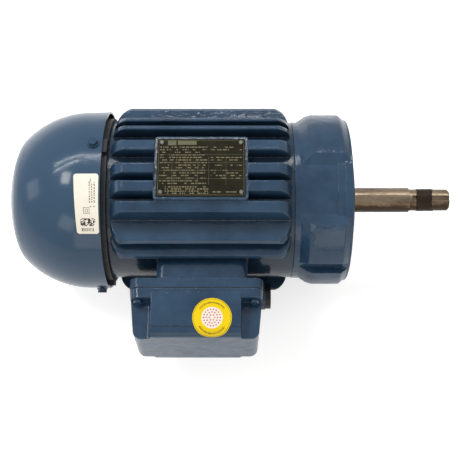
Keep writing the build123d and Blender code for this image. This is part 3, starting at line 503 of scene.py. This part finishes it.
def cover_ray(u, v):
    """u runs across the label from 0 to 1, v up it from 0 to 1."""
    angle = math.radians(between(LABEL_ARC, v))
    along = between((between(LABEL_LEFT, v), between(LABEL_RIGHT, v)), u)
    outward = Vector((0, -math.cos(angle), math.sin(angle)))
    return Vector((along, 0, 0)) + outward * COVER_RAY_START, -outward


def label_sheet(surface):
    """The label's whole area, its rows drawn in at the corners."""
    height = math.radians(LABEL_ARC[1] - LABEL_ARC[0]) * COVER_RADIUS
    width = LABEL_RIGHT[0] - LABEL_LEFT[0]

    def point(across, up):
        v = (1 - math.cos(math.pi * up)) / 2
        short = max(0.0, LABEL_CORNER - height * min(v, 1 - v))
        inset = (LABEL_CORNER - math.sqrt(LABEL_CORNER**2 - short**2)) / width
        return laid_on(surface, cover_ray(between((inset, 1 - inset), across), v), LABEL_LIFT)

    sheet = bmesh.new()
    add_grid(sheet, LABEL_STEPS, point)
    return sheet


def label_marks(surface):
    """Columns of dashes, ruled boxes, a pattern of squares and a row of bars."""
    ink = bmesh.new()
    rng = random.Random(LABEL_SEED)

    def mark(u, v, width, height):
        def point(across, up):
            ray = cover_ray(u + width * across, v + height * up)
            return laid_on(surface, ray, LABEL_LIFT + INK_LIFT)

        add_grid(ink, MARK_STEPS, point)

    for column, reach in DASH_COLUMNS:
        v = DASH_FOOT
        while v < DASH_FOOT + reach:
            length = rng.uniform(*DASH_LENGTH)
            mark(column, v, DASH_WIDTH, length)
            v += length + rng.uniform(*DASH_GAP)
    for corner_and_size in SINGLE_MARKS:
        mark(*corner_and_size)
    for left, foot, right, top in RULED_BOXES:
        for v in (foot, top):
            mark(left, v, right - left, RULE_HEIGHT)
        for u in (left, right - RULE_WIDTH):
            mark(u, foot, RULE_WIDTH, top - foot)
    for row in range(CODE_ROWS):
        for column in range(CODE_COLUMNS):
            if rng.random() < CODE_CHANCE:
                u = CODE_CORNER[0] + CODE_CELL[0] * column
                mark(u, CODE_CORNER[1] + CODE_CELL[1] * row, *CODE_CELL)
    u = BARS_ACROSS[0]
    while u < BARS_ACROSS[1]:
        width = rng.uniform(*BAR_WIDTH)
        mark(u, BARS_FOOT, width, BAR_HEIGHT)
        u += width + rng.uniform(*BAR_GAP)
    return ink


def cover_label():
    """A paper label with plain marks, curved with the cover."""
    surface = surface_of("fan_cover")
    paper = printed("label_paper", LABEL_CREAM)
    add_piece("cover_label", label_sheet(surface), paper, "housing")
    ink = printed("label_ink", LABEL_INK)
    add_piece("cover_label_marks", label_marks(surface), ink, "housing")


# Round sticker on the upper side of the terminal box lid, bent over the lid's rounded edge.
# Distances along the lid count from its joint, and a raised panel ends near the edge
LID_START = -112.6 * MM
LID_FLAT = 37.0 * MM
LID_ROUND = 8.0 * MM
LID_ROUND_HEIGHT = 33.5 * MM
LID_RAY_HEIGHT = 90.0 * MM
LID_RAY_START = 40.0 * MM
PANEL_END = 36.0 * MM
PANEL_STEP = 1.2 * MM
BRIDGE = 6.0 * MM
STICKER_CENTRE = (-134.6 * MM, 28.4 * MM)
STICKER_RADIUS = 18.4 * MM
STICKER_INNER = 9.9 * MM
STICKER_STEPS = (96, 24)
MIDDLE_STEPS = (60, 12)
STICKER_LIFT = 0.12 * MM

# Print on the sticker, arcs in degrees: ticks, a thin line near the rim, and rings of dots
STICKER_SEED = 5
WHOLE_TURN = (0.0, 360.0)
TICK_ARCS = ((38.0, 142.0), (215.0, 325.0))
TICK_BAND = (13.4 * MM, 14.9 * MM)
TICK_TURN = (1.5, 4.5)
TICK_GAP = (1.5, 3.0)
TICK_STEPS = (3, 2)
RIM_BAND = (17.3 * MM, 17.6 * MM)
RIM_STEPS = (96, 1)
DOT_RINGS = ((2.6 * MM, 6), (5.2 * MM, 12), (7.8 * MM, 18))
DOT_RADIUS = 0.75 * MM
DOT_STEPS = (12, 2)
SAME_PLACE = 1e-7


def lid_ray(u, v):
    """u runs along X in metres, v across the lid's side from its joint and round its edge."""
    if v <= LID_FLAT:
        return Vector((u, LID_START - v, LID_RAY_HEIGHT)), Vector((0, 0, -1))
    angle = (v - LID_FLAT) / LID_ROUND
    outward = Vector((0, -math.sin(angle), math.cos(angle)))
    return Vector((u, LID_START - LID_FLAT, LID_ROUND_HEIGHT)) + outward * LID_RAY_START, -outward


def on_lid(surface, u, v, lift):
    """A point of the sticker, which bridges the small step at the end of the lid's panel."""
    share = min(max((v - PANEL_END) / BRIDGE, 0.0), 1.0)
    step = PANEL_STEP * (1 - share * share * (3 - 2 * share)) if v > PANEL_END else 0.0
    return laid_on(surface, lid_ray(u, v), lift + step)


def add_ring(mesh, surface, band, steps, lift, arc=WHOLE_TURN, centre=STICKER_CENTRE):
    """A disc, ring or arc on the lid, between the two radii of its band."""

    def point(across, along):
        angle = math.radians(between(arc, across))
        reach = between(band, along)
        u = centre[0] + reach * math.cos(angle)
        return on_lid(surface, u, centre[1] - reach * math.sin(angle), lift)

    rows = add_grid(mesh, steps, point, closed=arc == WHOLE_TURN)
    if band[0] == 0:
        bmesh.ops.remove_doubles(mesh, verts=rows[0], dist=SAME_PLACE)


def sticker_ticks(surface):
    """Arcs of short ticks, and the line near the rim."""
    mesh = bmesh.new()
    rng = random.Random(STICKER_SEED)
    lift = STICKER_LIFT + INK_LIFT
    for start, end in TICK_ARCS:
        angle = start
        while angle < end:
            turn = rng.uniform(*TICK_TURN)
            add_ring(mesh, surface, TICK_BAND, TICK_STEPS, lift, arc=(angle, angle + turn))
            angle += turn + rng.uniform(*TICK_GAP)
    add_ring(mesh, surface, RIM_BAND, RIM_STEPS, lift)
    return mesh


def sticker_dots(surface):
    """Rings of dots on the pale middle."""
    mesh = bmesh.new()
    for reach, count in DOT_RINGS:
        for index in range(count):
            angle = 2 * math.pi * index / count
            u = STICKER_CENTRE[0] + reach * math.cos(angle)
            spot = (u, STICKER_CENTRE[1] + reach * math.sin(angle))
            lift = STICKER_LIFT + 2 * INK_LIFT
            add_ring(mesh, surface, (0.0, DOT_RADIUS), DOT_STEPS, lift, centre=spot)
    return mesh


def round_sticker():
    """A yellow round sticker with a pale middle, short ticks and rings of dots."""
    surface = surface_of("terminal_box_lid")
    base = bmesh.new()
    add_ring(base, surface, (0.0, STICKER_RADIUS), STICKER_STEPS, STICKER_LIFT)
    middle = bmesh.new()
    add_ring(middle, surface, (0.0, STICKER_INNER), MIDDLE_STEPS, STICKER_LIFT + INK_LIFT)
    ticks = sticker_ticks(surface)
    dots = sticker_dots(surface)
    yellow = printed("sticker_yellow", STICKER_YELLOW, roughness=0.3)
    white = printed("sticker_white", STICKER_WHITE, roughness=0.35)
    brown = printed("sticker_brown", STICKER_BROWN, roughness=0.4)
    red = printed("sticker_red", STICKER_RED, roughness=0.4)
    add_piece("lid_sticker", base, yellow, "housing")
    add_piece("lid_sticker_middle", middle, white, "housing")
    add_piece("lid_sticker_ticks", ticks, brown, "housing")
    add_piece("lid_sticker_dots", dots, red, "housing")


# Packing tape round the shaft end, in place until the impeller is fitted. Its outer end lies
# higher by the climb, and a few waves in millimetres make its edges wander
TAPE_ACROSS = (75.3 * MM, 92.8 * MM)
TAPE_RADIUS = 11.106 * MM
TAPE_GAP = 0.06 * MM
TAPE_CLIMB = 0.45 * MM
TAPE_THICKNESS = 0.15 * MM
TAPE_TURNS = 1.3
TAPE_FIRST_ANGLE = 0.6
TAPE_STEPS = (150, 14)
TAPE_LEAN = 3.6 * MM
TAPE_LEAN_START = 2.2
TAPE_LEAN_ACROSS = (0.4, 1.0)
TAPE_CREASE = 0.12 * MM
TAPE_SEED = 3
TAPE_WAVES = 5
WAVE_PACE = (2, 9)
WAVE_START = (0, 6.28)
WAVE_SIZE = (0.1, 0.35)


def shaft_tape():
    """A strip of dark tape wound a little askew, creased, with one end showing."""
    rng = random.Random(TAPE_SEED)
    waves = [
        (rng.uniform(*WAVE_PACE), rng.uniform(*WAVE_START), rng.uniform(*WAVE_SIZE))
        for _ in range(TAPE_WAVES)
    ]

    def point(along, across):
        turn = 2 * math.pi * TAPE_TURNS * along
        wander = sum(size * math.sin(pace * turn + start) for pace, start, size in waves) * MM
        lean = TAPE_LEAN * math.sin(turn - TAPE_LEAN_START)
        x = between(TAPE_ACROSS, across) + lean * between(TAPE_LEAN_ACROSS, across)
        x += wander * abs(2 * across - 1) ** 3
        folds = math.sin(7 * turn + 9 * across) * math.sin(3 * turn - 5 * across)
        reach = TAPE_RADIUS + TAPE_GAP + TAPE_CLIMB * along + TAPE_CREASE * (1 + folds)
        angle = turn + TAPE_FIRST_ANGLE
        return x, -reach * math.cos(angle), reach * math.sin(angle)

    mesh = bmesh.new()
    add_grid(mesh, TAPE_STEPS, point)
    finish = plain_finish("tape", TAPE_DARK, roughness=0.42, grain=260.0, depth=0.25 * MM, ior=1.2)
    piece = add_piece("shaft_tape", mesh, finish, "rotor")
    thick = piece.modifiers.new("thickness", "SOLIDIFY")
    thick.thickness = TAPE_THICKNESS
    thick.offset = 1.0


# Print on the data plate, plain marks only. A block's first two numbers take its lower left corner
# from the plate's left and upper edges, and a rule has its share of the plate's length or width
PRINT_LIFT = 0.03 * MM
PLATE_BORDER = 1.3 * MM
BORDER_RULE = 0.35 * MM
HEAD_BLOCKS = (
    (10.0 * MM, 7.0 * MM, 8.0 * MM, 5.0 * MM),
    (19.5 * MM, 6.5 * MM, 18.0 * MM, 4.3 * MM),
)
UPRIGHT_RULES = (0.17, 0.33, 0.46, 0.585, 0.78)
UPRIGHT_RULE = (0.25 * MM, 30.0 * MM)
LEVEL_RULES = (0.30, 0.44, 0.58, 0.72)
LEVEL_RULE = 0.22 * MM
LEVEL_INSET = 1.0 * MM

# Rows of marks on the plate: the space that they leave at each end, their heights above its lower
# edge, and for each kind how high a mark is, how often it is there and how long it is at most
PLATE_SEED = 7
PLATE_MIDDLE = 0.585
ROWS_BELOW_TOP = 9.6 * MM
ROWS_ABOVE_FOOT = 12.0 * MM
ROW_STEP = 2.75 * MM
LEFT_INSET = 1.5 * MM
RIGHT_INSET = 2.0 * MM
FOOT_INSET = 7.0 * MM
LAST_INSET = 4.0 * MM
FOOT_ROWS = (9.2 * MM, 7.0 * MM, 4.8 * MM, 2.6 * MM)
LAST_ROW = 4.0 * MM
LEFT_MARKS = {"height": 1.0 * MM, "chance": 0.72, "longest": 3.6 * MM}
RIGHT_MARKS = {"height": 0.9 * MM, "chance": 0.5, "longest": 4.2 * MM}
FOOT_MARKS = {"height": 1.1 * MM, "chance": 0.8, "longest": 2.6 * MM}
LAST_MARKS = {"height": 1.0 * MM, "chance": 0.7, "longest": 4.0 * MM}
RIGHT_ROW_CHANCE = 0.75
MARK_SHORTEST = 0.7 * MM
MARK_GAP = (0.5 * MM, 1.3 * MM)
MARK_ROOM = 1.0 * MM


def plate_rules(bar, low, high, left, right):
    """The border, the blocks at the head and the rules between the rows."""
    top = high.y - PLATE_BORDER
    bottom = low.y + PLATE_BORDER
    for y in (top - BORDER_RULE, bottom):
        bar(left, y, right - left, BORDER_RULE)
    for x in (left, right - BORDER_RULE):
        bar(x, bottom, BORDER_RULE, top - bottom)
    for from_left, from_top, width, height in HEAD_BLOCKS:
        bar(low.x + from_left, high.y - from_top, width, height)
    for share in UPRIGHT_RULES:
        bar(between((low.x, high.x), share), low.y + ROWS_ABOVE_FOOT, *UPRIGHT_RULE)
    for share in LEVEL_RULES:
        y = between((low.y, high.y), share)
        bar(left + LEVEL_INSET, y, right - left - 2 * LEVEL_INSET, LEVEL_RULE)


def plate_rows(bar, low, high, left, right):
    """Rows of short marks in two columns, and more rows at the foot."""
    rng = random.Random(PLATE_SEED)
    middle = between((low.x, high.x), PLATE_MIDDLE)

    def row_of_marks(x, end, y, height, chance, longest):
        while x < end - MARK_ROOM:
            width = rng.uniform(MARK_SHORTEST, longest)
            if rng.random() < chance:
                bar(x, y, min(width, end - x), height)
            x += width + rng.uniform(*MARK_GAP)

    y = high.y - ROWS_BELOW_TOP
    while y > low.y + ROWS_ABOVE_FOOT:
        row_of_marks(left + LEFT_INSET, middle - LEFT_INSET, y, **LEFT_MARKS)
        if rng.random() < RIGHT_ROW_CHANCE:
            row_of_marks(middle + RIGHT_INSET, right - RIGHT_INSET, y, **RIGHT_MARKS)
        y -= ROW_STEP
    for above in FOOT_ROWS:
        row_of_marks(left + FOOT_INSET, middle, low.y + above, **FOOT_MARKS)
    row_of_marks(middle + LAST_INSET, right - FOOT_INSET, low.y + LAST_ROW, **LAST_MARKS)


def plate_print():
    """Rows of short plain marks, and rules and plain blocks, on the data plate."""
    low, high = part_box("data_plate")

    def drawn(layout):
        mesh = bmesh.new()

        def bar(x, y, width, height):
            corners = ((x, y), (x + width, y), (x + width, y + height), (x, y + height))
            mesh.faces.new([mesh.verts.new((a, b, high.z + PRINT_LIFT)) for a, b in corners])

        layout(bar, low, high, low.x + PLATE_BORDER, high.x - PLATE_BORDER)
        return mesh

    ink = printed("plate_ink", PLATE_MARK, roughness=0.4)
    add_piece("data_plate_marks", drawn(plate_rows), ink, "housing")
    block_ink = printed("plate_block_ink", PLATE_BLOCK, roughness=0.4)
    add_piece("data_plate_blocks", drawn(plate_rules), block_ink, "housing")


# Half the floor's width, its drop below the motor, its glow where it is seen, the world's light
FLOOR_REACH = 6.0
FLOOR_DROP = 0.2 * MM
FLOOR_GLOW = 0.6
WORLD_LEVEL = 0.48


def seen_directly(tree):
    """1 for camera, glossy and transmission rays, which all see the background as white."""
    rays = make_node(tree, "ShaderNodeLightPath").outputs
    seen = calculate(tree, "MAXIMUM", rays["Is Camera Ray"], rays["Is Glossy Ray"])
    return calculate(tree, "MAXIMUM", seen, rays["Is Transmission Ray"])


def finish_background(tree, kind, lit, seen):
    """Ends a tree with one shader for the light it gives and another for how it is seen."""
    shaders = {0: seen_directly(tree), 1: lit.outputs[0], 2: seen.outputs[0]}
    pick = make_node(tree, "ShaderNodeMixShader", shaders)
    make_node(tree, kind, {"Surface": pick.outputs[0]})


def white_floor():
    """A wide white floor just under the motor, which glows where it is seen."""
    mesh = bmesh.new()
    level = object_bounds()[0].z - FLOOR_DROP
    reach = FLOOR_REACH
    corners = ((-reach, -reach), (reach, -reach), (reach, reach), (-reach, reach))
    mesh.faces.new([mesh.verts.new((x, y, level)) for x, y in corners])
    data = bpy.data.meshes.new("floor")
    mesh.to_mesh(data)
    mesh.free()
    floor = bpy.data.objects.new("floor", data)
    bpy.context.scene.collection.objects.link(floor)
    mat = bpy.data.materials.new("floor")
    mat.use_nodes = True
    tree = mat.node_tree
    tree.nodes.clear()
    diffuse = make_node(tree, "ShaderNodeBsdfDiffuse", {"Color": FLOOR_WHITE})
    glow = make_node(tree, "ShaderNodeEmission", {"Color": WHITE, "Strength": FLOOR_GLOW})
    both = make_node(tree, "ShaderNodeAddShader", {0: diffuse.outputs[0], 1: glow.outputs[0]})
    finish_background(tree, "ShaderNodeOutputMaterial", diffuse, both)
    data.materials.append(mat)


def studio_world():
    """A world that lights softly and is seen as white."""
    world = bpy.data.worlds.new("studio")
    bpy.context.scene.world = world
    world.use_nodes = True
    tree = world.node_tree
    tree.nodes.clear()
    level = {"Color": WORLD_LIGHT, "Strength": WORLD_LEVEL}
    soft = make_node(tree, "ShaderNodeBackground", level)
    white = make_node(tree, "ShaderNodeBackground", {"Color": WHITE, "Strength": 1.0})
    finish_background(tree, "ShaderNodeOutputWorld", soft, white)


# Two ceiling tubes, a short broad lamp, two weak ones that the cover mirrors, and a warm fill.
# Each has its place, its size with the first side along X, its radiance and its colour
LAMP_AIM = (-0.15, 0, 0)
LAMPS = {
    "tube_near": ((-0.30, 0.55, 1.10), (1.9, 0.030), 34.0, (1, 1, 1)),
    "tube_far": ((-0.30, 0.72, 1.10), (1.9, 0.030), 34.0, (1, 1, 1)),
    "square_lamp": ((-0.78, 0.07, 1.12), (0.30, 0.22), 16.0, (1.0, 0.97, 0.92)),
    "left_lamp": ((-1.95, 0.05, 0.65), (0.55, 0.55), 2.5, (1, 1, 1)),
    "front_lamp": ((-1.00, -1.35, 0.95), (0.55, 0.55), 2.5, (1, 1, 1)),
    "warm_fill": ((0.1, -1.3, 0.35), (1.6, 0.6), 1.6, (1.0, 0.88, 0.74)),
}


def aimed(name, data, place, back):
    """Links a lamp or a camera at a place, with its back along a vector."""
    made = bpy.data.objects.new(name, data)
    bpy.context.scene.collection.objects.link(made)
    made.location = place
    made.rotation_mode = "QUATERNION"
    made.rotation_quaternion = back.to_track_quat("Z", "Y")
    return made


def studio_lamps():
    """The rectangular lamps of the table, all aimed at the motor."""
    for name, (place, size, radiance, colour) in LAMPS.items():
        data = bpy.data.lights.new(name, "AREA")
        data.shape = "RECTANGLE"
        data.size, data.size_y = size
        data.energy = radiance * math.pi * size[0] * size[1]
        data.color = colour
        aimed(name, data, place, Vector(place) - Vector(LAMP_AIM))


def photo_camera():
    """The camera of the photograph."""
    elevation = math.radians(VIEW_ELEVATION)
    back = Vector((0, -math.cos(elevation), math.sin(elevation)))
    data = bpy.data.cameras.new("camera")
    data.lens = VIEW_LENS
    data.sensor_width = VIEW_SENSOR
    data.shift_y = VIEW_SHIFT
    camera = aimed("camera", data, Vector(VIEW_TARGET) + back * VIEW_DISTANCE, back)
    bpy.context.scene.camera = camera


bpy.context.scene.view_settings.view_transform = "Standard"
dress_frame()
cover_label()
round_sticker()
shaft_tape()
plate_print()
white_floor()
studio_world()
studio_lamps()
photo_camera()
